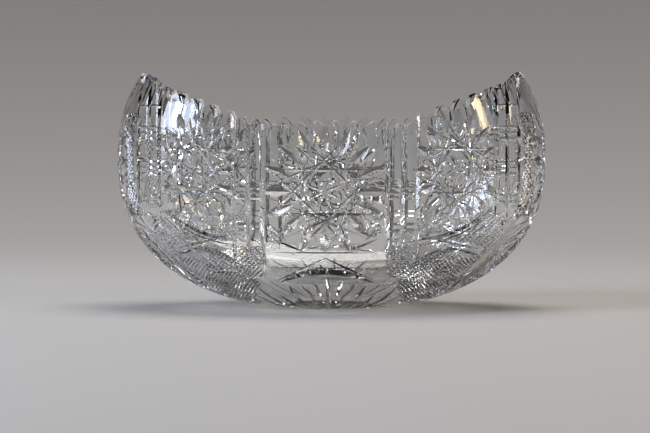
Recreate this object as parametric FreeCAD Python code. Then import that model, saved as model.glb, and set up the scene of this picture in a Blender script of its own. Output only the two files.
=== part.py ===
import FreeCAD, Part

# Boat-shaped cut-glass punch bowl, modelled as the one piece of lead crystal that it is: a blown blank
# whose outside, rim and base are ground on a V-edged wheel. X runs along the bowl, Z points up, and the
# origin is the centre of the base. All lengths are millimetres and all angles degrees.

import os
from math import cos, pi, radians, sin, tan

from FreeCAD import Matrix, Vector

# The blank
LENGTH = 303.2            # over the belly, end to end
WIDTH = 168.0             # over the belly, side to side
HEIGHT = 166.5            # from the table to the crest of the rim's two ends
FULLNESS = 2.35           # exponent of the hull's curve: 2 is an ellipse, more is squarer
WALL = 8.0                # glass at the belly
FLOOR = 12.0              # glass over the base
BELLY_HEIGHT = 0.638 * HEIGHT   # from the table up to the widest level
KEEL_DROP = 0.649 * HEIGHT      # from the widest level down to where the hull would close without its base
INNER_CROWN = 0.631 * HEIGHT    # from the widest level up to where the inner curve would close
BASE_GRIND = 0.5 * (KEEL_DROP - BELLY_HEIGHT)  # glass ground off the bottom to leave the flat base

# The rim: heights of its crest, and its teeth
RIM_MIDDLE = 0.805 * HEIGHT     # at the middle of the long sides
RIM_DIP = 0.790 * HEIGHT        # over the side straps
RIM_SHOULDER = 0.952 * HEIGHT   # over the end straps
TOOTH_DEPTH = 6.4
STRAP_TOOTH_DEPTH = 3.6
SIDE_TOOTH_PITCH = 0.0468 * LENGTH
STRAP_TOOTH_PITCH = 0.0284 * LENGTH
CORNER_TEETH = 5
END_TEETH = 5
NOTCH_SHARE = 0.88        # of the pitch that a notch takes from the crest

# The mitres: long V cuts that follow the glass
MITRE_HALF_ANGLE = 42.0   # half the included angle of the wheel's edge
WHEEL_CLEARANCE = 1.6     # how far a cutter stands proud of the glass

# The straps: two plain upright bars between three mitres
SIDE_STRAP_X = 0.171 * LENGTH
END_STRAP_X = 0.4055 * LENGTH
BAR_PITCH = 0.0336 * LENGTH
STRAP_DEPTH = 1.9
SIDE_STRAP_FOOT = 0.144 * HEIGHT
END_STRAP_FOOT = 0.372 * HEIGHT

# The hobstars: eight chords that cross round an eight-sided button
STAR_POINTS = 8
STAR_SKIP = 3             # each chord joins a point to the third one after it
STAR_RADIUS = min(0.1253 * LENGTH, 0.2282 * HEIGHT)
STAR_DEPTH = 2.2
SIDE_STAR_HEIGHT = 0.4985 * HEIGHT
CORNER_STAR_X = 0.297 * LENGTH
CORNER_STAR_HEIGHT = 0.5825 * HEIGHT
CORNER_STAR_SQUEEZE = 0.76
END_STAR_HEIGHT = 0.6246 * HEIGHT
END_STAR_SQUEEZE = 0.72

# The skirts: mitres that close each panel below its star, each from a start through a middle to an end.
# A place is a share of LENGTH along the bowl, or of WIDTH across its ends, and a share of HEIGHT up.
SKIRT_DEPTH = 1.6
ARCH_DEPTH = 2.2
CORNER_SKIRTS = (
    ((0.376, 0.432), (0.290, 0.339), (0.201, 0.303)),
    ((0.198, 0.327), (0.264, 0.300), (0.343, 0.261)),
)
CORNER_ARCH = ((0.165, 0.138), (0.231, 0.234), (0.310, 0.267))
END_SWEEP = ((0.264, 0.066), (0.353, 0.222), (0.442, 0.408))
SIDE_SKIRT = ((-0.122, 0.252), (0.0, 0.252), (0.122, 0.252))
SIDE_SLANT = ((0.043, 0.252), (0.082, 0.282), (0.122, 0.312))
SIDE_CHEVRON = ((-0.013, 0.240), (0.050, 0.186), (0.112, 0.132))
SIDE_ARCH = ((-0.112, 0.120), (0.0, 0.174), (0.112, 0.120))
END_ARCH = ((-0.235, 0.234), (0.0, 0.360), (0.235, 0.234))

# The base
BASE_RAYS = 16
BASE_RAY_DEPTH = 1.4
BASE_RAY_START = 5.0
BASE_RAY_REACH = 0.84     # of the way from the middle of the base to its edge

A, B = LENGTH / 2, WIDTH / 2
SMALL = 1e-9


# ---- The hull as a formula -----------------------------------------------------------------------
def girth(height, half_length, drop):
    """Half-length of the hull at a height."""
    level = min(abs(height - BELLY_HEIGHT) / drop, 1.0)
    return half_length * (1.0 - level**FULLNESS) ** (1.0 / FULLNESS)


def hull_error(p):
    """Zero on the outside of the hull, negative inside it."""
    rho = ((p.x / A) ** 2 + (p.y / B) ** 2) ** 0.5
    return rho**FULLNESS + (abs(p.z - BELLY_HEIGHT) / KEEL_DROP) ** FULLNESS - 1.0


def hull_slope(p):
    """Gradient of hull_error."""
    rho = max(((p.x / A) ** 2 + (p.y / B) ** 2) ** 0.5, SMALL)
    level = (p.z - BELLY_HEIGHT) / KEEL_DROP
    side = FULLNESS * rho ** (FULLNESS - 2.0)
    rise = FULLNESS * abs(level) ** (FULLNESS - 1.0) / KEEL_DROP
    return Vector(side * p.x / A**2, side * p.y / B**2, rise if level > 0 else -rise)


def hull_normal(p):
    return hull_slope(p).normalize()


def onto_hull(p, along):
    """Slide a point along a direction until it lies on the hull."""
    for _ in range(12):
        p = p - along * (hull_error(p) / hull_slope(p).dot(along))
    return p


def side_point(x, height):
    """Point of the front wall with a given X and height."""
    rho = girth(height, 1.0, KEEL_DROP)
    return Vector(x, -B * max(rho**2 - (x / A) ** 2, SMALL) ** 0.5, height)


def end_point(y, height):
    """Point of the right-hand wall with a given Y and height."""
    rho = girth(height, 1.0, KEEL_DROP)
    return Vector(A * max(rho**2 - (y / B) ** 2, SMALL) ** 0.5, y, height)


# ---- The blank -----------------------------------------------------------------------------------
def vessel(half_length, half_width, base, drop, crown, top):
    """Solid boat shape: a round turned shape, narrowed across."""
    levels = [base + (BELLY_HEIGHT - base) * (1.0 - cos(pi / 2 * i / 14)) for i in range(15)]
    levels += [BELLY_HEIGHT + (top - BELLY_HEIGHT) * i / 6 for i in range(1, 7)]
    side = [Vector(girth(z, half_length, drop if z < BELLY_HEIGHT else crown), 0, z) for z in levels]
    curve = Part.BSplineCurve()
    curve.interpolate(side)
    outline = [curve.toShape()]
    if side[0].x > 0.01:
        outline.insert(0, Part.makeLine(Vector(0, 0, base), side[0]))
    outline.append(Part.makeLine(side[-1], Vector(0, 0, top)))
    outline.append(Part.makeLine(Vector(0, 0, top), Vector(0, 0, base)))
    narrow = Matrix()
    narrow.scale(1.0, half_width / half_length, 1.0)
    quarter = Part.Face(Part.Wire(outline)).revolve(Vector(0, 0, 0), Vector(0, 0, 1), 90)
    quarter = quarter.transformGeometry(narrow)
    skin = [f for f in quarter.Faces if min(f.BoundBox.XLength, f.BoundBox.YLength) > 0.1]
    skin = mirrored(skin, Vector(1, 0, 0), Vector(0, 1, 0))
    shell = Part.makeShell(skin)
    shell.sewShape()
    return Part.Solid(shell)


def crest(x):
    """Height of the rim's crest at a distance along the bowl."""
    x = abs(x)
    if x < SIDE_STRAP_X:
        return RIM_MIDDLE - (RIM_MIDDLE - RIM_DIP) * (x / SIDE_STRAP_X) ** 2
    if x < END_STRAP_X:
        return RIM_DIP + (RIM_SHOULDER - RIM_DIP) * (x - SIDE_STRAP_X) / (END_STRAP_X - SIDE_STRAP_X)
    part = min((x - END_STRAP_X) / (girth(HEIGHT, A, KEEL_DROP) - END_STRAP_X), 1.0)
    return RIM_SHOULDER + (HEIGHT - RIM_SHOULDER) * (2.0 - part) * part


def space_above_rim():
    """Everything over the crest, to be cut away."""
    stops = [-A - 20, -END_STRAP_X, -SIDE_STRAP_X, SIDE_STRAP_X, END_STRAP_X, A + 20]
    edges = []
    for start, end in zip(stops, stops[1:]):
        points = [start + (end - start) * i / 8 for i in range(9)]
        curve = Part.BSplineCurve()
        curve.interpolate([Vector(x, -WIDTH, crest(x)) for x in points])
        edges.append(curve.toShape())
    left = Vector(stops[0], -WIDTH, crest(A))
    right = Vector(stops[-1], -WIDTH, crest(A))
    up = Vector(0, 0, LENGTH)
    edges.append(Part.makeLine(right, right + up))
    edges.append(Part.makeLine(right + up, left + up))
    edges.append(Part.makeLine(left + up, left))
    return Part.Face(Part.Wire(edges)).extrude(Vector(0, 2 * WIDTH, 0))


# ---- The teeth of the rim ------------------------------------------------------------------------
def rim_point(turn):
    """Point of the outer edge of the rim; turn 0 is the right-hand end and -90 the middle of the front."""
    height = HEIGHT
    for _ in range(30):
        reach = girth(height, 1.0, KEEL_DROP)
        x = A * reach * cos(radians(turn))
        height = crest(x)
    return Vector(x, B * reach * sin(radians(turn)), height)


def rim_table():
    """Points of the rim from the middle of the front to the right-hand end, each with its run so far."""
    table = [(0.0, rim_point(-90))]
    for i in range(1, 361):
        p = rim_point(-90 + i / 4)
        table.append((table[-1][0] + (p - table[-1][1]).Length, p))
    return table


def notch_places(table):
    """Distance along the rim, width and depth of every notch of one quarter."""
    side = next(s for s, p in table if p.x >= SIDE_STRAP_X)
    end = next(s for s, p in table if p.x >= END_STRAP_X)
    places = [((i + 0.5) * SIDE_TOOTH_PITCH, SIDE_TOOTH_PITCH, TOOTH_DEPTH) for i in range(3)]
    for middle in (side, end):
        for i in (-1, 0, 1):
            places.append((middle + i * STRAP_TOOTH_PITCH, STRAP_TOOTH_PITCH, STRAP_TOOTH_DEPTH))
    corner = (end - side - 2 * STRAP_TOOTH_PITCH) / CORNER_TEETH
    for i in range(1, CORNER_TEETH):
        places.append((side + STRAP_TOOTH_PITCH + i * corner, corner, TOOTH_DEPTH))
    pitch = 2 * (table[-1][0] - end - STRAP_TOOTH_PITCH) / END_TEETH
    for i in range(END_TEETH // 2):
        places.append((table[-1][0] - (i + 0.5) * pitch, min(pitch, corner), TOOTH_DEPTH))
    return places


def notch(table, distance, pitch, depth):
    """Cutter for one notch: a V with rounded shoulders, driven square through the wall."""
    place = next(i for i, (s, _) in enumerate(table) if s >= distance)
    along = (table[min(place + 2, len(table) - 1)][1] - table[place - 2][1]).normalize()
    p = table[place][1]
    out = hull_normal(p)
    out = Vector(out.x, out.y, 0).normalize()
    up = along.cross(out)
    up = up if up.z > 0 else -up
    half = NOTCH_SHARE * pitch / 2
    at = lambda across, rise: p + along * across + up * rise + out * WALL
    left, right, root = at(-half, 0.5), at(half, 0.5), at(0, -depth)
    edges = [
        Part.Arc(left, at(-0.46 * half, -0.42 * depth), root).toShape(),
        Part.Arc(root, at(0.46 * half, -0.42 * depth), right).toShape(),
        Part.makeLine(right, at(half, 3 * depth)),
        Part.makeLine(at(half, 3 * depth), at(-half, 3 * depth)),
        Part.makeLine(at(-half, 3 * depth), left),
    ]
    return Part.Face(Part.Wire(edges)).extrude(out * (-3.2 * WALL))


# ---- Mitres --------------------------------------------------------------------------------------
def mitre(points, depth, proud=WHEEL_CLEARANCE, fade_end=True):
    """Cutter that grinds a V along a line of hull points, deepest half way, and stands proud of them."""
    sections = []
    count = len(points) - 1
    for i, p in enumerate(points):
        along = (points[min(i + 1, count)] - points[max(i - 1, 0)]).normalize()
        out = hull_normal(p)
        across = out.cross(along).normalize()
        part = i / count
        shallow = 1 - 2 * part if part < 0.5 else (2 * part - 1) * fade_end
        sunk = depth * (1.0 - shallow**3) - 0.2 * shallow**3
        half = (sunk + proud) * tan(radians(MITRE_HALF_ANGLE))
        top, root = p + out * proud, p - out * sunk
        sections.append(Part.makePolygon([root, top + across * half, top - across * half, root]))
    return Part.makeLoft(sections, True, False)


def hull_frame(p, squeeze):
    """Directions across, up and out of the glass at a hull point."""
    out = hull_normal(p)
    across = Vector(0, 0, 1).cross(out).normalize()
    return across * squeeze, out.cross(across), out


def chord(middle, frame, start, end, steps=4):
    """Hull points under a straight line drawn in the plane that touches the hull at a point."""
    across, up, out = frame
    spots = [start + (end - start) * (i / steps) for i in range(steps + 1)]
    return [onto_hull(middle + across * s.x + up * s.y, out) for s in spots]


def hobstar(middle, squeeze):
    """The eight chords of one star."""
    frame = hull_frame(middle, squeeze)
    turns = [2 * pi * (i + 0.5) / STAR_POINTS for i in range(STAR_POINTS)]
    tips = [Vector(STAR_RADIUS * cos(t), STAR_RADIUS * sin(t), 0) for t in turns]
    cutters = []
    for i, tip in enumerate(tips):
        line = chord(middle, frame, tip, tips[(i + STAR_SKIP) % STAR_POINTS])
        cutters.append(mitre(line, STAR_DEPTH, WHEEL_CLEARANCE + 0.3 * i))
    return cutters


def sweep(spot, scale, places, depth, proud):
    """A mitre that bends through three places; spot finds a point of the wall from its place."""
    (x0, z0), (x1, z1), (x2, z2) = [(x * scale, z * HEIGHT) for x, z in places]
    line = []
    for i in range(7):
        t = i / 6
        bend = 2 * t * (1 - t)
        x = x0 * (1 - t) ** 2 + bend * (2 * x1 - (x0 + x2) / 2) + x2 * t**2
        z = z0 * (1 - t) ** 2 + bend * (2 * z1 - (z0 + z2) / 2) + z2 * t**2
        line.append(spot(x, z))
    return mitre(line, depth, WHEEL_CLEARANCE + proud)


def flipped(places):
    """The same line on the other side of the panel's middle."""
    return tuple((-x, z) for x, z in places)


def corner_skirts():
    """Two mitres that cross under a corner star, the arch below them and the sweep out to the end."""
    first, second = CORNER_SKIRTS
    return [
        sweep(side_point, LENGTH, first, SKIRT_DEPTH, 0.15),
        sweep(side_point, LENGTH, second, SKIRT_DEPTH, 0.45),
        sweep(side_point, LENGTH, CORNER_ARCH, ARCH_DEPTH, 0.75),
        sweep(side_point, LENGTH, END_SWEEP, ARCH_DEPTH, 1.05),
    ]


def side_skirts():
    """The level mitre under a side star, its two slants, the chevron and the low arch."""
    cutters = [
        sweep(side_point, LENGTH, SIDE_SKIRT, SKIRT_DEPTH, 0.15),
        sweep(side_point, LENGTH, SIDE_ARCH, ARCH_DEPTH, 0.75),
    ]
    for i, turn in enumerate((tuple, flipped)):
        cutters.append(sweep(side_point, LENGTH, turn(SIDE_SLANT), SKIRT_DEPTH, 0.45 + 0.1 * i))
        cutters.append(sweep(side_point, LENGTH, turn(SIDE_CHEVRON), SKIRT_DEPTH, 1.05 + 0.4 * i))
    return cutters


def strap(x, foot):
    """The three upright mitres of one strap of the front wall, from the rim to the foot."""
    out = hull_normal(side_point(x, BELLY_HEIGHT))
    cutters = []
    for i in (-1, 0, 1):
        line = x - i * BAR_PITCH * out.y
        top = crest(line) + 2.0
        spots = [side_point(line, foot + (top - foot) * k / 6) for k in range(7)]
        cutters.append(mitre(spots, STRAP_DEPTH, fade_end=False))
    return cutters


# ---- The base ------------------------------------------------------------------------------------
def base_ray(turn):
    """One lozenge-shaped pit of the star under the base."""
    pad = girth(0, 1.0, KEEL_DROP)
    way = Vector(A * cos(turn), B * sin(turn), 0)
    far, near = way * (pad * BASE_RAY_REACH), way.normalize() * BASE_RAY_START
    side = Vector(-sin(turn), cos(turn), 0) * (pad * B * pi / BASE_RAYS * 0.42)
    wide = near + (far - near) * 0.62
    pit, below = wide + Vector(0, 0, BASE_RAY_DEPTH), Vector(0, 0, -0.6)
    ring = [near + below, wide + side + below, far + below, wide - side + below]
    walls = [Part.Face(Part.makePolygon([ring[i], ring[(i + 1) % 4], pit, ring[i]])) for i in range(4)]
    return Part.Solid(Part.Shell(walls + [Part.Face(Part.makePolygon(ring + ring[:1]))]))


# ---- The bowl ------------------------------------------------------------------------------------
def mirrored(cutters, *directions):
    """The cutters with their mirror images across each plane through the origin."""
    for direction in directions:
        cutters = cutters + [c.mirror(Vector(0, 0, 0), direction) for c in cutters]
    return cutters


def all_cutters():
    along, across = Vector(1, 0, 0), Vector(0, 1, 0)
    table = rim_table()
    quarter = [notch(table, *place) for place in notch_places(table)]
    quarter += strap(SIDE_STRAP_X, SIDE_STRAP_FOOT) + strap(END_STRAP_X, END_STRAP_FOOT)
    quarter += hobstar(side_point(CORNER_STAR_X, CORNER_STAR_HEIGHT), CORNER_STAR_SQUEEZE)
    quarter += corner_skirts()
    front = hobstar(side_point(0, SIDE_STAR_HEIGHT), 1.0) + side_skirts()
    end = hobstar(end_point(0, END_STAR_HEIGHT), END_STAR_SQUEEZE)
    end.append(sweep(end_point, WIDTH, END_ARCH, ARCH_DEPTH, 0.15))
    rays = [base_ray(2 * pi * i / BASE_RAYS) for i in range(BASE_RAYS)]
    return mirrored(quarter, along, across) + mirrored(front, across) + mirrored(end, along) + rays


def bowl():
    outside = vessel(A, B, -BASE_GRIND, KEEL_DROP, KEEL_DROP, HEIGHT + 20)
    outside = outside.cut(Part.makeBox(LENGTH, WIDTH, 10 * BASE_GRIND, Vector(-A, -B, -10 * BASE_GRIND)))
    drop = BELLY_HEIGHT - FLOOR
    inside = vessel(A - WALL, B - WALL, FLOOR, drop, INNER_CROWN, HEIGHT + 30)
    blank = outside.cut(inside).cut(space_above_rim())
    return blank.cut(all_cutters())


def main():
    os.makedirs("parts", exist_ok=True)
    shape = bowl()
    solid = shape.Solids[0] if len(shape.Solids) == 1 else shape
    solid.exportStep("parts/bowl.step")
    box = solid.BoundBox
    print("bowl", round(box.XLength, 1), round(box.YLength, 1), round(box.ZLength, 1))
    print("solids", len(shape.Solids), "valid", solid.isValid())
    print("volume", round(solid.Volume / 1000, 1), "cm3")


main()
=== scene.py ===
# %% [markdown]
# # Cut-crystal punch bowl
# A boat-shaped bowl of lead crystal: one blown blank whose outside, rim and base were ground on a V-edged
# wheel and then polished. The CAD frame gives the true hull, rim and main cuts. Here the same bowl is built
# again as one dense closed skin, so that it can carry the whole pattern, fine work included, and take light
# as cut glass does.
import math

import bmesh
import bpy
import numpy as np
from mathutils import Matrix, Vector


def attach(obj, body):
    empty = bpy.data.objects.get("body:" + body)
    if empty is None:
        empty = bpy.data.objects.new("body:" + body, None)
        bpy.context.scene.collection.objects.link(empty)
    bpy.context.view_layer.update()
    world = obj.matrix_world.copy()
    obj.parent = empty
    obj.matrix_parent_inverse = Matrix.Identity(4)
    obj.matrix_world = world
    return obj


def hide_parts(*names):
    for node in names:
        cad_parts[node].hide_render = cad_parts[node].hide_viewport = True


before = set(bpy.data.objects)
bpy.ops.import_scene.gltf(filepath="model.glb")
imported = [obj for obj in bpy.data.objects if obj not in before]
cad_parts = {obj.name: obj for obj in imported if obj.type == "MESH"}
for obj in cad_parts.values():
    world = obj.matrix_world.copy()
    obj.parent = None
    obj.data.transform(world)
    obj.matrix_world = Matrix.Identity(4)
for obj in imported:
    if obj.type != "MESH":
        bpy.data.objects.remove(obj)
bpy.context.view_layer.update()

MM = 0.001


def activate(obj):
    """Selects one object and nothing else, which every operator below relies on."""
    bpy.ops.object.select_all(action="DESELECT")
    obj.select_set(True)
    bpy.context.view_layer.objects.active = obj
    return obj


def linear(hex_colour):
    """A hex colour is written in sRGB, and shaders want linear light."""
    parts = [int(hex_colour[i:i + 2], 16) / 255 for i in (1, 3, 5)]
    return [p / 12.92 if p <= 0.04045 else ((p + 0.055) / 1.055) ** 2.4 for p in parts] + [1.0]


# %% [markdown]
# ## The hull as a formula
# The glass is a superellipse turned round an upright axis and then narrowed across. Keeping it as a formula
# gives three things that a mesh alone can't: the exact skin, the exact outward direction anywhere on it, and
# a way to lay a cut along it. All lengths in this part are millimetres, as in the CAD source.

# %% The hull
HALF_LENGTH, HALF_WIDTH = 151.6, 84.0
BELLY, KEEL_DROP, FULLNESS = 106.2, 108.1, 2.35
WALL, FLOOR, INNER_CROWN = 8.0, 12.0, 105.0
SLIDES = 14  # steps in which a point slides onto the hull
WELL_INSIDE = -0.012  # what hull_error says of the blank's inside, and of no point of its outside
SIDE_STRAP_X, END_STRAP_X = 51.8, 122.9
RIM_MIDDLE, RIM_DIP, RIM_SHOULDER, RIM_END = 134.0, 131.5, 158.5, 166.5


def girth(height, drop_below=KEEL_DROP, drop_above=KEEL_DROP):
    """Share of the full length that the hull has at a height."""
    height = np.asarray(height, float)
    drop = np.where(height < BELLY, drop_below, drop_above)
    level = np.clip(np.abs(height - BELLY) / drop, 0, 1)
    return (1 - level**FULLNESS) ** (1 / FULLNESS)


def hull_error(p):
    rho = np.hypot(p[..., 0] / HALF_LENGTH, p[..., 1] / HALF_WIDTH)
    return rho**FULLNESS + (np.abs(p[..., 2] - BELLY) / KEEL_DROP) ** FULLNESS - 1


def hull_slope(p):
    rho = np.maximum(np.hypot(p[..., 0] / HALF_LENGTH, p[..., 1] / HALF_WIDTH), 1e-9)
    side = FULLNESS * rho ** (FULLNESS - 2)
    level = (p[..., 2] - BELLY) / KEEL_DROP
    rise = FULLNESS * np.abs(level) ** (FULLNESS - 1) / KEEL_DROP * np.sign(level)
    return np.stack([side * p[..., 0] / HALF_LENGTH**2, side * p[..., 1] / HALF_WIDTH**2, rise], -1)


def unit(v):
    return v / np.linalg.norm(v, axis=-1, keepdims=True)


def hull_normal(p):
    return unit(hull_slope(p))


def onto_hull(p, along):
    """Slides points along one direction until they lie on the hull."""
    for _ in range(SLIDES):
        p = p - along * (hull_error(p) / (hull_slope(p) @ along))[..., None]
    return p


def side_point(x, height):
    """Point of the front wall with a given X and height."""
    y = HALF_WIDTH * math.sqrt(max(float(girth(height)) ** 2 - (x / HALF_LENGTH) ** 2, 1e-9))
    return np.array([x, -y, height])


def end_point(y, height):
    """Point of the right-hand wall with a given Y and height."""
    x = HALF_LENGTH * math.sqrt(max(float(girth(height)) ** 2 - (y / HALF_WIDTH) ** 2, 1e-9))
    return np.array([x, y, height])


def crest(x):
    """Height of the rim's crest at a distance along the bowl."""
    x = abs(x)
    if x < SIDE_STRAP_X:
        return RIM_MIDDLE - (RIM_MIDDLE - RIM_DIP) * (x / SIDE_STRAP_X) ** 2
    if x < END_STRAP_X:
        return RIM_DIP + (RIM_SHOULDER - RIM_DIP) * (x - SIDE_STRAP_X) / (END_STRAP_X - SIDE_STRAP_X)
    part = min((x - END_STRAP_X) / (HALF_LENGTH * float(girth(RIM_END)) - END_STRAP_X), 1.0)
    return RIM_SHOULDER + (RIM_END - RIM_SHOULDER) * (2 - part) * part


rim_half_length = HALF_LENGTH * float(girth(RIM_END))
print("half-length at the belly", HALF_LENGTH, "and at the rim's ends", round(rim_half_length, 1))

# %% [markdown]
# ## The blank
# A blown blank could be a lathe shape from a Screw modifier, a subdivided sphere, or a profile turned with
# Spin. Spin is closest to how the mould of the real one was turned, and it leaves a regular net of small
# quads, which matters here: curved clear glass shows every facet that is too big. The profile runs from the
# middle of the base up the outside, over the top and down the inside to the middle of the floor.

# %% Turn the blank
OUTER_STEPS, INNER_STEPS, ROUND_STEPS = 40, 26, 136
BLANK_TOP = 176.0  # above the rim, which is ground down to its crest later
MERGE = 2e-6  # metres between points that are one
FINE, FINE_BASE = 300, 20  # points from which each even profile is taken


def profile_points():
    """Outside and inside curve, with points at even distances along each."""
    def fine_curve(levels, half, flat_base, below, above):
        radius = half * girth(levels, below, above)
        pts = np.stack([radius, levels], -1)
        if flat_base:
            pad = np.stack([np.linspace(0, radius[0], FINE_BASE)[:-1], np.full(FINE_BASE - 1, levels[0])], -1)
            pts = np.concatenate([pad, pts])
        gaps = np.r_[0, np.cumsum(np.hypot(*np.diff(pts, axis=0).T))]
        return pts, gaps

    def resample(pts, gaps, count, keep=None):
        at = np.linspace(0, gaps[-1], count)
        if keep is not None:
            at[np.abs(at - keep).argmin()] = keep
        return np.stack([np.interp(at, gaps, pts[:, 0]), np.interp(at, gaps, pts[:, 1])], -1)

    rise = 1 - np.cos(np.linspace(0, math.pi / 2, FINE))
    over_belly = np.linspace(BELLY, BLANK_TOP, 200)[1:]
    outer_levels = np.r_[BELLY * rise, over_belly]
    inner_levels = np.r_[FLOOR + (BELLY - FLOOR) * rise, over_belly]
    outer, gaps = fine_curve(outer_levels, HALF_LENGTH, True, KEEL_DROP, KEEL_DROP)
    outer = resample(outer, gaps, OUTER_STEPS, HALF_LENGTH * float(girth(0)))
    inner, gaps = fine_curve(inner_levels, HALF_LENGTH - WALL, False, BELLY - FLOOR, INNER_CROWN)
    inner = resample(inner, gaps, INNER_STEPS)
    return np.concatenate([outer, inner[::-1]])


def turn_blank(name):
    profile = profile_points()
    bpy.ops.object.select_all(action="DESELECT")
    bpy.ops.mesh.primitive_circle_add(vertices=len(profile), radius=0.1, fill_type="NOTHING")
    obj = bpy.context.object
    obj.name = name
    for vert, (radius, height) in zip(obj.data.vertices, profile):
        vert.co = (radius * MM, 0, height * MM)
    bpy.ops.object.mode_set(mode="EDIT")
    mesh = bmesh.from_edit_mesh(obj.data)
    mesh.edges.ensure_lookup_table()
    axis_edge = [e for e in mesh.edges if max(v.co.x for v in e.verts) < 1e-7]
    bmesh.ops.delete(mesh, geom=axis_edge, context="EDGES_FACES")
    bmesh.update_edit_mesh(obj.data)
    bpy.ops.mesh.select_all(action="SELECT")
    bpy.ops.mesh.spin(steps=ROUND_STEPS, dupli=False, angle=math.tau, center=(0, 0, 0), axis=(0, 0, 1))
    bpy.ops.mesh.select_all(action="SELECT")
    bpy.ops.mesh.remove_doubles(threshold=MERGE)
    bpy.ops.transform.resize(value=(1, HALF_WIDTH / HALF_LENGTH, 1), center_override=(0, 0, 0))
    bpy.ops.mesh.select_all(action="SELECT")
    bpy.ops.mesh.normals_make_consistent(inside=False)
    bpy.ops.object.mode_set(mode="OBJECT")
    return obj


def even_wall(obj):
    """Narrows the inside a little more than the outside was, so that the wall is as thick all round."""
    co = np.empty(len(obj.data.vertices) * 3)
    obj.data.vertices.foreach_get("co", co)
    co = co.reshape(-1, 3)
    mm = co / MM
    inside = (hull_error(mm) < WELL_INSIDE) & (mm[:, 2] > FLOOR - 1)
    co[inside, 1] *= ((HALF_WIDTH - WALL) / (HALF_LENGTH - WALL)) / (HALF_WIDTH / HALF_LENGTH)
    obj.data.vertices.foreach_set("co", co.ravel())
    obj.data.update()


bowl = turn_blank("cut_crystal_bowl")
even_wall(bowl)
print("blank:", len(bowl.data.vertices), "points", len(bowl.data.polygons), "faces")

# %% [markdown]
# ## The cutter
# Every line of the pattern is the mark of a wheel with a V edge. Each one could be a knife cut, a bevel or a
# bump texture, but only real V-shaped dents bend light as the real facets do. So one short three-sided bar is
# modelled, in three lengths that bend in more or fewer steps. A copy of its mesh is laid along each line of
# the pattern, with its edge sunk in the glass, and booleans take the bars away from the blank. The bar's
# faces are turned outwards after its points are placed, because a boolean with an inside-out cutter adds
# glass instead of taking it.

# %% One three-sided bar


def model_bar(name, steps):
    """A bar from 0 to 1 along X, with its edge down at z -1 and its flat back up at z 0."""
    bpy.ops.object.select_all(action="DESELECT")
    bpy.ops.mesh.primitive_cylinder_add(vertices=3, radius=1, depth=1, location=(0, 0, 0))
    obj = bpy.context.object
    obj.name = name
    bpy.ops.object.mode_set(mode="EDIT")
    for i in range(1, steps):
        bpy.ops.mesh.select_all(action="SELECT")
        bpy.ops.mesh.bisect(plane_co=(0, 0, i / steps - 0.5), plane_no=(0, 0, 1))
    bpy.ops.object.mode_set(mode="OBJECT")
    for vert in obj.data.vertices:
        x, y, z = vert.co
        edge = abs(x) < 1e-4
        vert.co = (z + 0.5, 0 if edge else math.copysign(1, x), -1 if edge else 0)
    bpy.ops.object.mode_set(mode="EDIT")
    bpy.ops.mesh.select_all(action="SELECT")
    bpy.ops.mesh.normals_make_consistent(inside=False)
    bpy.ops.object.mode_set(mode="OBJECT")
    return obj


def bar_model(steps):
    """The points and faces of a bar that bends in a given number of steps."""
    obj = model_bar(f"bar_{steps}", steps)
    points = np.array([v.co for v in obj.data.vertices])
    faces = [list(p.vertices) for p in obj.data.polygons]
    bpy.data.objects.remove(obj)
    return points, faces


BAR_STEPS = {26: 4, 70: 8, 400: 14}  # the longest cut in millimetres, and the steps of its bar
BARS = {longest: bar_model(steps) for longest, steps in BAR_STEPS.items()}
print("bars:", {longest: len(points) for longest, (points, _) in BARS.items()}, "points by longest cut in mm")

# %% [markdown]
# ## Laying cuts on the glass
# A cut is a straight line drawn on a flat sheet that touches the glass at the middle of a panel, and then
# pushed square onto the glass. The cut is deepest at mid-length and runs out at its ends, as a round wheel
# leaves it.

# %% Frames, lines and cuts
HALF_ANGLE = math.radians(42)  # half of the wheel's V
PROUD = 0.5  # how far a bar stands out of the glass
LIFT = 0.06  # how far its edge has left the glass where the cut runs out


class Panel:
    """A flat sheet that touches the hull at one point, with across and up directions."""

    def __init__(self, middle, squeeze=1.0):
        self.middle = np.asarray(middle, float)
        self.out = hull_normal(self.middle)
        self.across = unit(np.cross([0, 0, 1.0], self.out))
        self.up = np.cross(self.out, self.across)
        self.squeeze = squeeze

    def lay(self, uv):
        uv = np.asarray(uv, float)
        flat = self.middle + uv[..., :1] * self.squeeze * self.across + uv[..., 1:2] * self.up
        return onto_hull(flat, self.out)

    def reach(self, points):
        """Distance of hull points from the panel's middle, on its sheet."""
        way = points - self.middle
        return np.hypot(way @ self.across / self.squeeze, way @ self.up)


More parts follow.
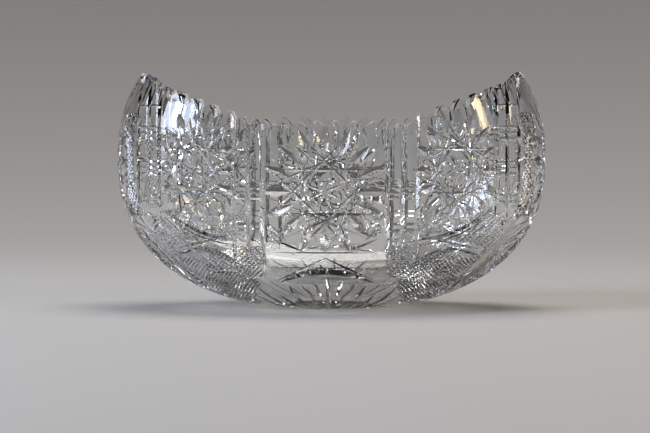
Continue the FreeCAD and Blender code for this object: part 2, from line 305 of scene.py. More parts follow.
def cut(line, depth, proud=PROUD, fade=(1, 1), power=3.0, angle=HALF_ANGLE, flat=None):
    """One laid bar: its points in millimetres, with the line it follows for sorting.

    fade says at which ends the cut runs out, power how suddenly, and flat is the way out of a flat face.
    """
    line = np.asarray(line, float)
    gaps = np.r_[0, np.cumsum(np.linalg.norm(np.diff(line, axis=0), axis=1))]
    bar_points, bar_faces = next(bar for longest, bar in BARS.items() if gaps[-1] < longest)
    at = bar_points[:, 0] * gaps[-1]
    spots = np.stack([np.interp(at, gaps, line[:, i]) for i in range(3)], -1)
    ahead = np.stack([np.interp(np.minimum(at + 0.5, gaps[-1]), gaps, line[:, i]) for i in range(3)], -1)
    behind = np.stack([np.interp(np.maximum(at - 0.5, 0), gaps, line[:, i]) for i in range(3)], -1)
    along = unit(ahead - behind)
    out = hull_normal(spots) if flat is None else np.broadcast_to(flat, spots.shape)
    across = unit(np.cross(out, along))
    t = bar_points[:, 0]
    shallow = np.where(t < 0.5, (1 - 2 * t) * fade[0], (2 * t - 1) * fade[1]) ** power
    sunk = depth * (1 - shallow) - LIFT * shallow
    half = (sunk + proud) * math.tan(angle)
    points = spots + out * (proud + bar_points[:, 2:] * (sunk + proud)[:, None])
    points = points + across * (bar_points[:, 1] * half)[:, None]
    return {"points": points, "faces": bar_faces, "line": line, "half": float(half.max())}


def straight(panel, start, end, steps=12):
    start, end = np.asarray(start, float), np.asarray(end, float)
    return panel.lay(start + (end - start) * np.linspace(0, 1, steps + 1)[:, None])


def sweep(spot, start, middle, end, steps=24):
    """A line that bends through three places on the wall; spot finds a point of the wall from its place."""
    start, middle, end = (np.array(p, float) for p in (start, middle, end))
    pull = 2 * middle - (start + end) / 2
    t = np.linspace(0, 1, steps + 1)[:, None]
    places = start * (1 - t) ** 2 + 2 * pull * t * (1 - t) + end * t**2
    return np.array([spot(*p) for p in places])


def polar(radius, degrees):
    turn = math.radians(degrees)
    return np.array([radius * math.cos(turn), radius * math.sin(turn)])


SIDE = Panel(side_point(0, 83.0))
CORNER = Panel(side_point(90.0, 97.0), squeeze=0.76)
END = Panel(end_point(0, 104.0), squeeze=0.72)
print("panels face", [[round(float(c), 2) for c in p.out] for p in (SIDE, CORNER, END)])

# %% [markdown]
# ## Hobstars
# The hobstar is the mark of this kind of cutting: long mitres that cross round an eight-sided button. Eight
# lines that each join a point to the third one after it leave the button and eight points. Eight more, turned
# half a step and set a little farther out, make it sixteen. Between the points stand deep short cuts like the
# blades of a fan, and the button gets a small star of its own.

# %% Cuts of a hobstar
BUTTON, OUTER_BUTTON = 15.0, 18.2
CHORD_REACH, CHORD_DEPTH = 42.5, 1.5
OUTER_REACH, OUTER_DEPTH = 46.5, 1.0
SMALL_STAR, SMALL_STAR_DEPTH = (0.8, 12.8), 1.1
FAN_START, FAN_ENDS, FAN_DEPTH, FAN_ANGLE = 22, (44, 46), 2.6, math.radians(54)


def ring_of_lines(panel, apothem, turn, reach, depth):
    """Eight lines that all pass the middle of the star at the same distance."""
    cuts = []
    half = math.sqrt(reach**2 - apothem**2)
    for i in range(8):
        normal = polar(1, turn + 45 * i)
        side = np.array([-normal[1], normal[0]])
        line = straight(panel, normal * apothem - side * half, normal * apothem + side * half)
        cuts.append(cut(line, depth, power=1.3))
    return cuts


def ray(panel, start, end, turn, depth, angle=HALF_ANGLE, power=2.0):
    return cut(straight(panel, polar(start, turn), polar(end, turn)), depth, power=power, angle=angle)


def hobstar(panel):
    cuts = ring_of_lines(panel, BUTTON, 0, CHORD_REACH, CHORD_DEPTH)
    cuts += ring_of_lines(panel, OUTER_BUTTON, 22.5, OUTER_REACH, OUTER_DEPTH)
    cuts += [ray(panel, *SMALL_STAR, 22.5 + 45 * i, SMALL_STAR_DEPTH) for i in range(8)]
    cuts += [ray(panel, FAN_START, FAN_ENDS[i % 2], 22.5 * i, FAN_DEPTH, FAN_ANGLE, 1.3) for i in range(16)]
    return cuts


side_star, corner_star, end_star = hobstar(SIDE), hobstar(CORNER), hobstar(END)
print("a hobstar takes", len(side_star), "cuts")

# %% [markdown]
# ## Straps and sweeping mitres
# Pairs of plain upright bars part the panels, with groups of level notches across them. Under each star run
# long mitres that cross, a wide low arch, and from the foot of each corner panel one that sweeps up to the
# end. Each is a line through three places on the wall, because a cutter marks out a curve by its ends and its
# middle.

# %% Cuts of the straps and sweeps
BAR_PITCH = 10.2
SIDE_STRAP_FOOT, END_STRAP_FOOT, STRAP_DEPTH = 24, 62, 1.9
OVER_CREST = 2.5  # how far a strap's mitres run on above the rim
BAR_EDGE = 0.4  # from a mitre's middle to where a notch across the bar starts
STRAP_NOTCH_DEPTH, STRAP_NOTCH_ANGLE = 0.8, math.radians(56)
STRAP_NOTCHES = (57.5, 61.5, 79.0, 82.5, 86.0)
END_STRAP_NOTCHES = (76.0, 80.0, 95.0, 99.0, 103.0, 119.0, 123.0, 127.0, 142.0)


def strap_lines(x):
    """The three X places of a strap's upright mitres."""
    out = hull_normal(side_point(x, BELLY))
    return [x - i * BAR_PITCH * out[1] for i in (-1, 0, 1)]


def strap(x, foot):
    cuts = []
    for line_x in strap_lines(x):
        line = [side_point(line_x, z) for z in np.linspace(foot, crest(line_x) + OVER_CREST, 25)]
        cuts.append(cut(line, STRAP_DEPTH, fade=(1, 0)))
    return cuts


def strap_notches(x, heights):
    """Level notches across both bars of a strap."""
    first, middle, last = strap_lines(x)
    cuts = []
    for z in heights:
        for start, end in ((first, middle), (middle, last)):
            line = [side_point(v, z) for v in np.linspace(start + BAR_EDGE, end - BAR_EDGE, 7)]
            cuts.append(cut(line, STRAP_NOTCH_DEPTH, power=8, angle=STRAP_NOTCH_ANGLE))
    return cuts


WIDE_ANGLE, WIDE_DEPTH = math.radians(54), 2.1  # the arches and the long sweep take a blunter wheel
FALLING = sweep(side_point, (114, 72), (88, 56.5), (61, 50.5))
FALLING_LOW = sweep(side_point, (113, 68), (88, 53.2), (62, 47))
SWEEP_IN = sweep(side_point, (60, 54.5), (80, 50), (104, 43.5))
CORNER_ARCH = sweep(side_point, (50, 23), (70, 39), (94, 44.5))
ARCH_TAIL = sweep(side_point, (79, 47), (94, 42.5), (108, 38))
END_SWEEP = sweep(side_point, (80, 11), (107, 37), (134, 68))
END_SWEEP_LOW = sweep(side_point, (86, 10), (112, 36), (136, 62))
SIDE_LINE = sweep(side_point, (-38, 42), (0, 42), (38, 42))
SIDE_LINE_LOW = sweep(side_point, (-38, 31.5), (0, 31.5), (38, 31.5))
SIDE_ARCH = sweep(side_point, (-34, 20), (0, 29), (34, 20))
SIDE_SLANT = sweep(side_point, (13, 42), (25, 47), (37, 52))
END_ARCH = sweep(end_point, (-39.5, 39), (0, 60), (39.5, 39))


def corner_sweeps():
    return [
        cut(FALLING, 1.7),
        cut(FALLING_LOW, 0.9),
        cut(SWEEP_IN, 1.3),
        cut(CORNER_ARCH, WIDE_DEPTH, angle=WIDE_ANGLE),
        cut(ARCH_TAIL, 1.2),
        cut(END_SWEEP, WIDE_DEPTH, angle=WIDE_ANGLE),
        cut(END_SWEEP_LOW, 1.0),
    ]


def side_sweeps():
    cuts = [cut(SIDE_LINE, 0.6), cut(SIDE_LINE_LOW, 0.5), cut(SIDE_ARCH, WIDE_DEPTH, angle=WIDE_ANGLE)]
    for side in (-1, 1):
        chevron = sweep(side_point, (-4 * side, 40), (15 * side, 31), (34 * side, 22))
        cuts += [cut(SIDE_SLANT * [side, 1, 1], 0.9), cut(chevron, 0.9)]
    return cuts


one_corner = strap(SIDE_STRAP_X, SIDE_STRAP_FOOT) + strap_notches(SIDE_STRAP_X, STRAP_NOTCHES)
one_corner += corner_sweeps()
end_strap = strap(END_STRAP_X, END_STRAP_FOOT) + strap_notches(END_STRAP_X, END_STRAP_NOTCHES)
print("side strap and sweeps of a corner:", len(one_corner), "cuts; end strap:", len(end_strap))

# %% [markdown]
# ## Crossed fields
# Much of what the stars and mitres leave free is filled with fine crossed lines: two sets of close parallel
# cuts that leave rows of tiny pointed diamonds. Each line is drawn over a whole panel, and only its longest
# run inside the field's bounds is cut, so a field takes any outline without a knife or a mask. On such glass
# the lines are often under 2 mm apart. Here they stand 2.4 to 3.2 mm apart, so that they show and the skin
# stays light enough to use.

# %% Cuts of the fields
FIELD_ANGLE = math.radians(57)
FIELD_POWER, FIELD_PROUD = 10, 0.04  # even depth to the ends, and a bar that hardly stands out of the glass
FILL = 0.44  # share of the pitch that half a cut's width takes
FIELD_STEP, FIELD_POINTS, SHORTEST = 0.6, 13, 5  # millimetres between tries, points kept, and tries for a cut
ON_HULL = 1e-6  # the largest hull_error of a point that has slid home
WIDE_MARGIN, FINE_MARGIN = 2.6, 1.6  # room that a field leaves beside a wide and a fine mitre


def longest_run(flags):
    """Start and end of the longest row of true values."""
    best, run = (0, 0), 0
    for i, flag in enumerate(flags):
        run = run + 1 if flag else 0
        if run > best[1] - best[0]:
            best = (i + 1 - run, i + 1)
    return best


def field(panel, inside, pitch, reach):
    """Two sets of close parallel lines in a region; inside tells which of a row of hull points are in it."""
    cuts = []
    depth = pitch * FILL / math.tan(FIELD_ANGLE)
    along_steps = np.arange(-reach, reach, FIELD_STEP)[:, None]
    for turn in (45, -45):
        along = polar(1, turn)
        square = np.array([-along[1], along[0]])
        for k in np.arange(-reach, reach, pitch):
            with np.errstate(all="ignore"):
                spots = panel.lay(square * k + along * along_steps)
                sound = np.abs(hull_error(spots)) < ON_HULL
                start, end = longest_run(sound & inside(spots))
            if end - start > SHORTEST:
                line = spots[np.linspace(start, end - 1, FIELD_POINTS).round().astype(int)]
                cuts.append(cut(line, depth, proud=FIELD_PROUD, power=FIELD_POWER, angle=FIELD_ANGLE))
    return cuts


def height_of(line, points, axis=0):
    """Height of a laid line straight above or below points, by their X or Y."""
    line = line[np.argsort(line[:, axis])]
    return np.interp(points[:, axis], line[:, axis], line[:, 2])


def under_corner_arch(p):
    roof = np.where(p[:, 0] < 92, height_of(CORNER_ARCH, p), height_of(ARCH_TAIL, p))
    past_sweep = (p[:, 0] < 80) | (p[:, 2] > height_of(END_SWEEP, p) + WIDE_MARGIN)
    under = (p[:, 2] > 5) & (p[:, 2] < roof - WIDE_MARGIN) & past_sweep
    return (p[:, 1] < 0) & (p[:, 0] > 49) & (p[:, 0] < 107) & under


def beside_sweep(p):
    inner = np.where(p[:, 0] < 106, height_of(SWEEP_IN, p) + FINE_MARGIN, 0)
    floor = np.maximum(height_of(END_SWEEP, p) + WIDE_MARGIN, inner)
    between = (p[:, 2] > floor) & (p[:, 2] < height_of(FALLING_LOW, p) - FINE_MARGIN)
    return between & (p[:, 1] < 0) & (p[:, 0] > 82) & (p[:, 0] < 121)


def under_end_arch(p):
    roof = np.minimum(height_of(END_ARCH, p, 1) - WIDE_MARGIN, height_of(END_SWEEP, p) - 6.5)
    return (p[:, 0] > 84) & (p[:, 2] > 12) & (p[:, 2] < roof)


def strap_foot(p):
    first, _, last = strap_lines(SIDE_STRAP_X)
    return (p[:, 1] < 0) & (p[:, 0] > first + 0.5) & (p[:, 0] < last - 0.5) & (p[:, 2] > 24) & (p[:, 2] < 47)


def corner_gaps(p):
    free = (CORNER.reach(p) > 42) & (p[:, 2] > height_of(FALLING, p) + 2.2) & (p[:, 2] < 92)
    return free & (p[:, 1] < 0) & (p[:, 0] > 64) & (p[:, 0] < 112)


def side_gaps(p):
    free = (SIDE.reach(p) > 42) & (p[:, 2] < 84) & (p[:, 2] > height_of(SIDE_SLANT, np.abs(p)) + 2)
    return free & (np.abs(p[:, 0]) < 39) & (p[:, 1] < 0)


def end_gaps(p):
    return (END.reach(p) > 42) & (np.abs(p[:, 1]) < 39) & (p[:, 2] > 64) & (p[:, 2] < 138)


corner_fields = field(Panel(side_point(78.0, 26.0)), under_corner_arch, 2.4, 44)
corner_fields += field(Panel(side_point(SIDE_STRAP_X, 36.0)), strap_foot, 2.5, 22)
corner_fields += field(CORNER, corner_gaps, 2.6, 58)
corner_fields += field(Panel(side_point(102.0, 52.0)), beside_sweep, 2.8, 30)
side_fields = field(SIDE, side_gaps, 2.6, 58)
end_fields = field(END, end_gaps, 2.8, 62) + field(Panel(end_point(0, 40.0)), under_end_arch, 3.2, 62)
print("field lines: corner", len(corner_fields), "side", len(side_fields), "end", len(end_fields))

# %% [markdown]
# ## Rim teeth and base star
# The rim is notched all round. Each notch is cut straight through the wall with its shoulders rounded, so
# that what stays between two notches is a small pointed arch, a little wider inside than out, with bevelled
# sides. A short flute runs down the outside from each root. One notch cutter is modelled as an outline pushed
# through the wall, and copies of it are set square to the rim. The flat base carries a star of long and short
# rays, and a fan of rays stands under each side arch.

# %% Rim and base cutters
TOOTH_DEPTH, STRAP_TOOTH_DEPTH = 6.4, 3.6
TOOTH_PITCH, STRAP_TOOTH_PITCH = 14.2, 8.6
CORNER_TEETH, END_TEETH = 5, 5
NOTCH_SHARE = 0.97  # of the pitch
FLARE_IN, FLARE_OUT = 0.68, 1.28  # a notch's width at the two ends of its cutter
NOTCH_REACH, NOTCH_SHIFT = 9, -5  # half the cutter's length, and where its middle lies outwards of the rim


def model_notch(name):
    """A notch cutter one unit wide, from its root at z -1 to above the rim, pushed through along Y."""
    shoulder = [(s, (1.12 * s - 0.12 * s**6) * 1.06 - 1) for s in (0, 0.5, 0.75, 0.85, 0.93, 1)]
    outline = [(-x / 2, z) for x, z in reversed(shoulder)] + [(x / 2, z) for x, z in shoulder[1:]]
    outline += [(0.5, 2.5), (-0.5, 2.5)]
    bpy.ops.object.select_all(action="DESELECT")
    bpy.ops.mesh.primitive_circle_add(vertices=len(outline), radius=1, fill_type="NGON")
    obj = bpy.context.object
    obj.name = name
    for vert, (x, z) in zip(obj.data.vertices, outline):
        vert.co = (x * FLARE_IN, -1, z)
    bpy.ops.object.mode_set(mode="EDIT")
    bpy.ops.mesh.select_all(action="SELECT")
    bpy.ops.mesh.extrude_region_move(TRANSFORM_OT_translate={"value": (0, 2, 0)})
    bpy.ops.transform.resize(value=(FLARE_OUT / FLARE_IN, 1, 1), center_override=(0, 1, 0))
    bpy.ops.mesh.select_all(action="SELECT")
    bpy.ops.mesh.normals_make_consistent(inside=False)
    bpy.ops.object.mode_set(mode="OBJECT")
    return obj


notch_model = model_notch("notch")
notch_points = np.array([v.co for v in notch_model.data.vertices])
notch_faces = [list(p.vertices) for p in notch_model.data.polygons]
bpy.data.objects.remove(notch_model)


def rim_point(turn):
    """Outer edge of the rim; turn 0 is the right-hand end and -90 the middle of the front."""
    height = RIM_END
    for _ in range(30):
        reach = float(girth(height))
        x = HALF_LENGTH * reach * math.cos(math.radians(turn))
        height = crest(x)
    return np.array([x, HALF_WIDTH * reach * math.sin(math.radians(turn)), height])


rim = np.array([rim_point(t) for t in np.linspace(-90, 0, 721)])
rim_run = np.r_[0, np.cumsum(np.linalg.norm(np.diff(rim, axis=0), axis=1))]


def notch_places():
    """Distance along a quarter of the rim, width and depth of every notch."""
    side = rim_run[np.argmax(rim[:, 0] >= SIDE_STRAP_X)]
    end = rim_run[np.argmax(rim[:, 0] >= END_STRAP_X)]
    strap_pitch = STRAP_TOOTH_PITCH
    places = [((i + 0.5) * TOOTH_PITCH, TOOTH_PITCH, TOOTH_DEPTH) for i in range(3)]
    places += [(m + i * strap_pitch, strap_pitch, STRAP_TOOTH_DEPTH) for m in (side, end) for i in (-1, 0, 1)]
    pitch = (end - side - 2 * strap_pitch) / CORNER_TEETH
    places += [(side + strap_pitch + i * pitch, pitch, TOOTH_DEPTH) for i in range(1, CORNER_TEETH)]
    pitch = 2 * (rim_run[-1] - end - strap_pitch) / END_TEETH
    places += [(rim_run[-1] - (i + 0.5) * pitch, pitch, TOOTH_DEPTH) for i in range(2)]
    return sorted(places)


def notch(distance, pitch, depth):
    place = int(np.argmax(rim_run >= distance))
    along = unit(rim[min(place + 3, len(rim) - 1)] - rim[place - 3])
    out = hull_normal(rim[place])
    out = unit(np.array([out[0], out[1], 0]))
    up = np.cross(along, out)
    if up[2] < 0:
        along, up = -along, -up
    x, y, z = notch_points.T
    points = rim[place] + np.outer(x * pitch * NOTCH_SHARE, along) + np.outer(z * depth, up)
    points = points + np.outer(y * NOTCH_REACH + NOTCH_SHIFT, out)
    line = np.array([rim[place], rim[place] - up * depth])
    return {"points": points, "faces": notch_faces, "line": line, "half": pitch / 2 + 1}


def flute(distance, depth):
    """The cut that runs down the outside from a notch's root."""
    p = rim[int(np.argmax(rim_run >= distance))]
    top = p[2] + 1.5
    turn = math.atan2(p[1] / HALF_WIDTH, p[0] / HALF_LENGTH)
    line = []
    for z in np.linspace(top - depth - 15, top, 13):
        reach = float(girth(z))
        line.append([HALF_LENGTH * reach * math.cos(turn), HALF_WIDTH * reach * math.sin(turn), z])
    return cut(line, 1.9 if depth == TOOTH_DEPTH else 1.3, fade=(1, 0), power=1.6)


BASE_RAYS = 32
LONG_RAY, SHORT_RAY = (0.9, 3.2, 1.15), (0.72, 11, 0.6)  # share of the base reached, start and depth


def base_star():
    cuts = []
    for i in range(BASE_RAYS):
        reach, start, depth = SHORT_RAY if i % 2 else LONG_RAY
        turn = 2 * math.pi * i / BASE_RAYS
        way = np.array([math.cos(turn) * HALF_LENGTH, math.sin(turn) * HALF_WIDTH, 0]) * float(girth(0))
        far, near = way * reach, unit(way) * start
        line = near + (far - near) * np.linspace(0, 1, 13)[:, None]
        cuts.append(cut(line, depth, power=2, flat=np.array([0, 0, -1.0])))
    return cuts


RAYS_EACH_WAY, RAY_STEP, RAY_SPREAD, RAY_DEPTH = 5, 9.0, 0.82, 1.3
RAY_FOOT, RAY_TOPS = 0.35, (4.5, 3.6)  # square roots of heights, so that points lie closer near the base


def hull_rays():
    """A fan of rays under the arch of a side panel, from the base up."""
    cuts = []
    for i in range(-RAYS_EACH_WAY, RAYS_EACH_WAY + 1):
        turn = math.radians(-90 + RAY_STEP * i)
        line = []
        for z in np.linspace(RAY_FOOT, RAY_TOPS[i % 2], 13) ** 2:
            line.append(side_point(HALF_LENGTH * float(girth(z)) * math.cos(turn) * RAY_SPREAD, z))
        cuts.append(cut(line, RAY_DEPTH, power=1.6, angle=math.radians(50)))
    return cuts


print("notches in a quarter:", len(notch_places()), "rim run", round(float(rim_run[-1]), 1), "mm")

# %% [markdown]
# ## Cutting
# Cuts that cross can't be taken in one boolean, because the bars would overlap. So each cut is put in the
# first batch that holds nothing it would touch, and each batch is taken away with one Manifold boolean. The
# pattern is laid once on a quarter of the bowl and mirrored, so all four corners agree.

# %% Batches and booleans


def mirrored(cuts, *signs):
    """The cuts with their mirror images: sign (-1, 1) flips X and (1, -1) flips Y."""
    made = list(cuts)
    for sx, sy in signs:
        flip = np.array([sx, sy, 1.0])
        for c in cuts:
            faces = [f[::-1] for f in c["faces"]] if sx * sy < 0 else c["faces"]
            made.append(c | {"points": c["points"] * flip, "faces": faces, "line": c["line"] * flip})
    return made


LINE_POINTS = 15
GAP = 0.12  # millimetres kept between two cuts of a batch


def even_line(line):
    """The same line with a set number of points."""
    at = np.linspace(0, 1, len(line))
    return np.stack([np.interp(np.linspace(0, 1, LINE_POINTS), at, line[:, i]) for i in range(3)], -1)


def line_gap(a, b):
    """Least distance between two lines given as rows of points, by places along their straight pieces."""
    t = np.linspace(0, 1, 5)[:, None]
    on_a = (a[:-1, None] + (a[1:] - a[:-1])[:, None] * t).reshape(-1, 3)
    on_b = (b[:-1, None] + (b[1:] - b[:-1])[:, None] * t).reshape(-1, 3)
    return np.sqrt(((on_a[:, None] - on_b[None]) ** 2).sum(-1).min())


def batches(cuts):
    """Sorts cuts into batches in which no two come near each other."""
    lines = [even_line(c["line"]) for c in cuts]
    centres = np.array([line.mean(0) for line in lines])
    radii = np.array([np.linalg.norm(line - line.mean(0), axis=1).max() for line in lines])
    halves = np.array([c["half"] for c in cuts])
    made = []
    for i in range(len(cuts)):
        for batch in made:
            room = halves[i] + halves[batch] + GAP
            apart = np.linalg.norm(centres[i] - centres[batch], axis=1)
            near = [(j, r) for j, r, a in zip(batch, room, apart) if a < radii[i] + radii[j] + r]
            if all(line_gap(lines[i], lines[j]) > r for j, r in near):
                batch.append(i)
                break
        else:
            made.append([i])
    return made


def cutter_object(name, cuts):
    points, faces, start = [], [], 0
    for c in cuts:
        points.append(c["points"] * MM)
        faces += [[i + start for i in f] for f in c["faces"]]
        start += len(c["points"])
    mesh = bpy.data.meshes.new(name)
    mesh.from_pydata(np.concatenate(points).tolist(), [], faces)
    obj = bpy.data.objects.new(name, mesh)
    bpy.context.scene.collection.objects.link(obj)
    return obj


def take_away(obj, cutter):
    """Cuts one object with another and throws the cutter away."""
    activate(obj)
    mod = obj.modifiers.new("cut", "BOOLEAN")
    mod.operation, mod.solver, mod.object = "DIFFERENCE", "MANIFOLD", cutter
    bpy.ops.object.modifier_apply(modifier=mod.name)
    bpy.data.objects.remove(cutter)


BLOCK_LENGTH, BLOCK_WIDTH, BLOCK_HEIGHT = 330, 200, 60


def space_above_rim():
    """A block over the whole bowl, with the rim's crest as its underside."""
    bpy.ops.object.select_all(action="DESELECT")
    bpy.ops.mesh.primitive_grid_add(x_subdivisions=160, y_subdivisions=1, size=1)
    obj = bpy.context.object
    for vert in obj.data.vertices:
        x = vert.co.x * BLOCK_LENGTH
        vert.co = (x * MM, vert.co.y * BLOCK_WIDTH * MM, crest(x) * MM)
    bpy.ops.object.mode_set(mode="EDIT")
    bpy.ops.mesh.select_all(action="SELECT")
    bpy.ops.mesh.extrude_region_move(TRANSFORM_OT_translate={"value": (0, 0, BLOCK_HEIGHT * MM)})
    bpy.ops.mesh.select_all(action="SELECT")
    bpy.ops.mesh.normals_make_consistent(inside=False)
    bpy.ops.object.mode_set(mode="OBJECT")
    return obj


take_away(bowl, space_above_rim())
print("rim cut:", len(bowl.data.polygons), "faces")

places = notch_places()
quarter = one_corner + end_strap + corner_star + corner_fields
quarter += [flute(distance, depth) for distance, _, depth in places]
quarter_notches = [notch(*p) for p in places]
front = side_star + side_sweeps() + side_fields + hull_rays()
right = end_star + [cut(END_ARCH, WIDE_DEPTH, angle=WIDE_ANGLE)] + end_fields
four_ways = (-1, 1), (1, -1), (-1, -1)
every = mirrored(quarter, *four_ways) + mirrored(front, (1, -1)) + mirrored(right, (-1, 1))
every += base_star() + mirrored(quarter_notches, *four_ways)
plan = batches(every)
print(len(every), "cuts in", len(plan), "batches of", [len(b) for b in plan])
for i, batch in enumerate(plan):
    take_away(bowl, cutter_object(f"cutters_{i}", [every[j] for j in batch]))
print("cut bowl:", len(bowl.data.vertices), "points", len(bowl.data.polygons), "faces")

# %% [markdown]
# ## Finish the skin
# The V cuts meet the glass and each other at sharp edges, and between them the skin is smoothly curved.
# Smoothing by angle keeps both: an edge under the limit is shaded round, and one over it stays a crisp facet
# line.

# %% Smooth what is round and keep what is sharp
FACET_ANGLE = math.radians(16)
activate(bowl)
bpy.ops.object.mode_set(mode="EDIT")
bpy.ops.mesh.select_all(action="SELECT")
bpy.ops.mesh.normals_make_consistent(inside=False)
bpy.ops.object.mode_set(mode="OBJECT")
bpy.ops.object.shade_smooth_by_angle(angle=FACET_ANGLE)
triangles = sum(len(p.vertices) - 2 for p in bowl.data.polygons)
print("finished skin:", len(bowl.data.polygons), "faces,", triangles, "triangles")

# %% [markdown]
# ## Crystal
# Lead crystal bends light a little more than window glass, about 1.55 against 1.50, and it is almost without
# colour. A Glass shader would do, but the Principled shader with full transmission keeps one material for
# every look. The polish isn't perfect: the skin of a blown blank is faintly wavy, and the flat base is dulled
# where it has stood and slid on tables.

# %% Node helper and crystal material


def add_node(material, kind, **inputs):
    """Adds a node and sets its inputs: a socket is linked and any other value is typed in.

    A name with a leading underscore is a setting of the node itself, and in0 or in1 is an input by number.
    """
    node = material.node_tree.nodes.new(kind)
    for name, value in inputs.items():
        if name.startswith("_"):
            setattr(node, name[1:], value)
            continue
        by_number = name.startswith("in") and name[2:].isdigit()
        socket = node.inputs[int(name[2:]) if by_number else name.replace("_", " ")]
        if isinstance(value, bpy.types.NodeSocket):
            material.node_tree.links.new(value, socket)
        else:
            socket.default_value = value
    return node


def new_material(name):
    material = bpy.data.materials.new(name)
    material.use_nodes = True
    material.node_tree.nodes.clear()
    return material


def crystal(name, ripple, ripple_size, polish, dulled):
    """Clear glass with a wavy skin (height and size in millimetres), its polish and its base's roughness."""
    m = new_material(name)
    where = add_node(m, "ShaderNodeTexCoord").outputs["Object"]
    wave = add_node(m, "ShaderNodeTexNoise", Vector=where, Scale=1 / (ripple_size * MM),
                    Detail=1.0, Roughness=0.4)
    bump = add_node(m, "ShaderNodeBump", Strength=1.0, Distance=ripple * MM, Height=wave.outputs["Fac"])
    patch = add_node(m, "ShaderNodeTexNoise", Vector=where, Scale=1 / (PATCH_SIZE * MM), Detail=2.0)
    rough = add_node(m, "ShaderNodeMapRange", Value=patch.outputs["Fac"],
                     To_Min=polish * 0.5, To_Max=polish * 1.5)
    height = add_node(m, "ShaderNodeSeparateXYZ", Vector=where).outputs["Z"]
    scuffed = add_node(m, "ShaderNodeMapRange", Value=height,
                       From_Min=SCUFF_FROM * MM, From_Max=SCUFF_TO * MM, To_Min=dulled, To_Max=0.0)
    both = add_node(m, "ShaderNodeMath", _operation="ADD",
                    in0=rough.outputs["Result"], in1=scuffed.outputs["Result"])
    shader = add_node(m, "ShaderNodeBsdfPrincipled", Base_Color=linear("#F9FAFA"), IOR=1.55,
                      Transmission_Weight=1.0, Roughness=both.outputs["Value"], Normal=bump.outputs["Normal"])
    add_node(m, "ShaderNodeOutputMaterial", Surface=shader.outputs["BSDF"])
    return m


PATCH_SIZE = 1000 / 30  # millimetres across a patch that is polished better or worse
SCUFF_FROM, SCUFF_TO = 0.05, 0.3  # heights in millimetres between which the dull base fades into the polish
crystal_skin = crystal("lead_crystal_polished", ripple=0.012, ripple_size=9.0, polish=0.01, dulled=0.22)
bowl.data.materials.clear()
bowl.data.materials.append(crystal_skin)
print("material", crystal_skin.name, "with", len(crystal_skin.node_tree.nodes), "nodes")

# %% [markdown]
# ## Join the frame
# The new skin stands for the CAD node and stands where it does.

# %% Ride and replace
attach(bowl, "root")
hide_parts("bowl")

# %% [markdown]
# ## Studio
# Clear glass has no look of its own: it shows what stands round it. A pale paper floor that rises in a long
# bend into a wall all round is the plain ground, so that no line parts the two. Soft panels light it, and the
# dim room above gives the facets their darks.

# %% Cove
FLOOR_RADIUS, BEND, WALL_HEIGHT = 0.85, 3.0, 3.4  # metres


def cove(name):
    """A floor that curves up into a wall all round, turned from one outline."""
    turns = np.linspace(0.08, math.pi / 2, 16)
    outline = [(0.0, 0.0), (FLOOR_RADIUS, 0.0)]
    outline += [(FLOOR_RADIUS + BEND * math.sin(a), BEND - BEND * math.cos(a)) for a in turns]
    outline += [(FLOOR_RADIUS + BEND, WALL_HEIGHT)]
    bpy.ops.object.select_all(action="DESELECT")
    bpy.ops.mesh.primitive_circle_add(vertices=len(outline), radius=1, fill_type="NOTHING")
    obj = bpy.context.object
    obj.name = name
    for vert, (radius, z) in zip(obj.data.vertices, outline):
        vert.co = (radius, 0, z)
    bpy.ops.object.mode_set(mode="EDIT")
    mesh = bmesh.from_edit_mesh(obj.data)
    mesh.verts.ensure_lookup_table()
    closing = [e for e in mesh.edges if {v.index for v in e.verts} == {0, len(outline) - 1}]
    bmesh.ops.delete(mesh, geom=closing, context="EDGES_FACES")
    bmesh.update_edit_mesh(obj.data)
    bpy.ops.mesh.select_all(action="SELECT")
    bpy.ops.mesh.spin(steps=96, angle=math.tau, center=(0, 0, 0), axis=(0, 0, 1))
    bpy.ops.mesh.select_all(action="SELECT")
    bpy.ops.mesh.remove_doubles(threshold=MERGE)
    bpy.ops.mesh.normals_make_consistent(inside=True)
    bpy.ops.object.mode_set(mode="OBJECT")
    bpy.ops.object.shade_smooth()
    return obj


ground = cove("ground")
GRAIN = 1000 / 900  # millimetres across a speck of the paper
paper = new_material("pale_backdrop_paper")
on_paper = add_node(paper, "ShaderNodeTexCoord").outputs["Object"]
grain = add_node(paper, "ShaderNodeTexNoise", Vector=on_paper, Scale=1 / (GRAIN * MM), Detail=2.0)
tone = add_node(paper, "ShaderNodeMix", _data_type="RGBA", Factor=grain.outputs["Fac"],
                A=linear("#BAB8B6"), B=linear("#BEBCBA"))
paper_shader = add_node(paper, "ShaderNodeBsdfPrincipled", Base_Color=tone.outputs["Result"], Roughness=0.85,
                        Specular_IOR_Level=0.1)
add_node(paper, "ShaderNodeOutputMaterial", Surface=paper_shader.outputs["BSDF"])
ground.data.materials.append(paper)
print("cove:", len(ground.data.polygons), "faces")

# %% Lights


def softbox(name, centre, target, width, height, watts, colour):
    data = bpy.data.lights.new(name, "AREA")
    data.shape, data.size, data.size_y = "RECTANGLE", width, height
    data.energy, data.color = watts, linear(colour)[:3]
    obj = bpy.data.objects.new(name, data)
    bpy.context.scene.collection.objects.link(obj)
    obj.location = centre
    obj.rotation_mode = "QUATERNION"
    obj.rotation_quaternion = (Vector(target) - Vector(centre)).to_track_quat("-Z", "Y")
    return obj


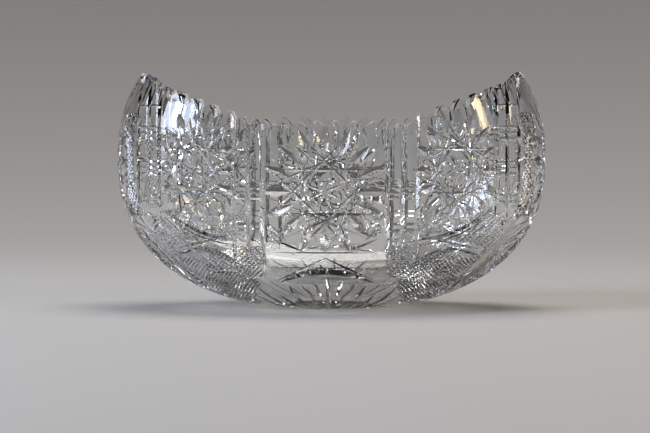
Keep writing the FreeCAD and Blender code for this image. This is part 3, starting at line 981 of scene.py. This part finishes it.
BOWL_MIDDLE = (0, 0, 0.08)
for i, height in enumerate((0.56, 1.12)):
    softbox(f"window_left_{i}", (-1.45, -0.75, height), BOWL_MIDDLE, 0.7, 0.46, 12, "#D6E4FF")
softbox("top_soft", (0.2, 0.3, 2.2), (0, 0, 0.05), 1.5, 1.1, 34, "#FFFBF5")
softbox("right_strip", (1.5, -0.8, 0.9), BOWL_MIDDLE, 0.14, 1.1, 5, "#FFE2B8")

# %% [markdown]
# Two panes of a cool window stand on the left, a wide soft panel hangs above, and a narrow warm strip on the
# right gives a few golden glints. Beyond them is a dim room. Glass that looks up past the wall finds it dark,
# which is what turns some facets black beside bright ones.

# %% Room
world = bpy.data.worlds.new("room")
world.use_nodes = True
dim = world.node_tree.nodes["Background"]
dim.inputs["Color"].default_value = linear("#706E6C")
dim.inputs["Strength"].default_value = 0.6
bpy.context.scene.world = world
print("room:", round(dim.inputs["Strength"].default_value, 2))

# %% [markdown]
# ## Camera
# A long lens from a little under the middle of the rim, so that the far teeth stand lower than the near ones
# and the backdrop shows in the tops of the notches. The bowl is seen turned a few degrees, with its right end
# nearer.

# %% Camera
TURN, DISTANCE, EYE, ASIDE = math.radians(3.2), 1.4, 0.105, -0.0041
TILT = math.radians(1.661)  # downwards
camera_data = bpy.data.cameras.new("camera")
camera_data.lens, camera_data.sensor_width = 109.3, 36.0
camera_data.clip_start, camera_data.clip_end = 0.05, 50
camera = bpy.data.objects.new("camera", camera_data)
bpy.context.scene.collection.objects.link(camera)
camera.location = (
    ASIDE * math.cos(TURN) + DISTANCE * math.sin(TURN),
    ASIDE * math.sin(TURN) - DISTANCE * math.cos(TURN),
    EYE,
)
look = Vector((-math.sin(TURN) * math.cos(TILT), math.cos(TURN) * math.cos(TILT), -math.sin(TILT)))
camera.rotation_mode = "QUATERNION"
camera.rotation_quaternion = look.to_track_quat("-Z", "Y")
bpy.context.scene.camera = camera

scene = bpy.context.scene
scene.view_settings.view_transform = "Standard"
scene.cycles.max_bounces = 24
scene.cycles.transmission_bounces = 24
print("camera at", [round(v, 3) for v in camera.location])
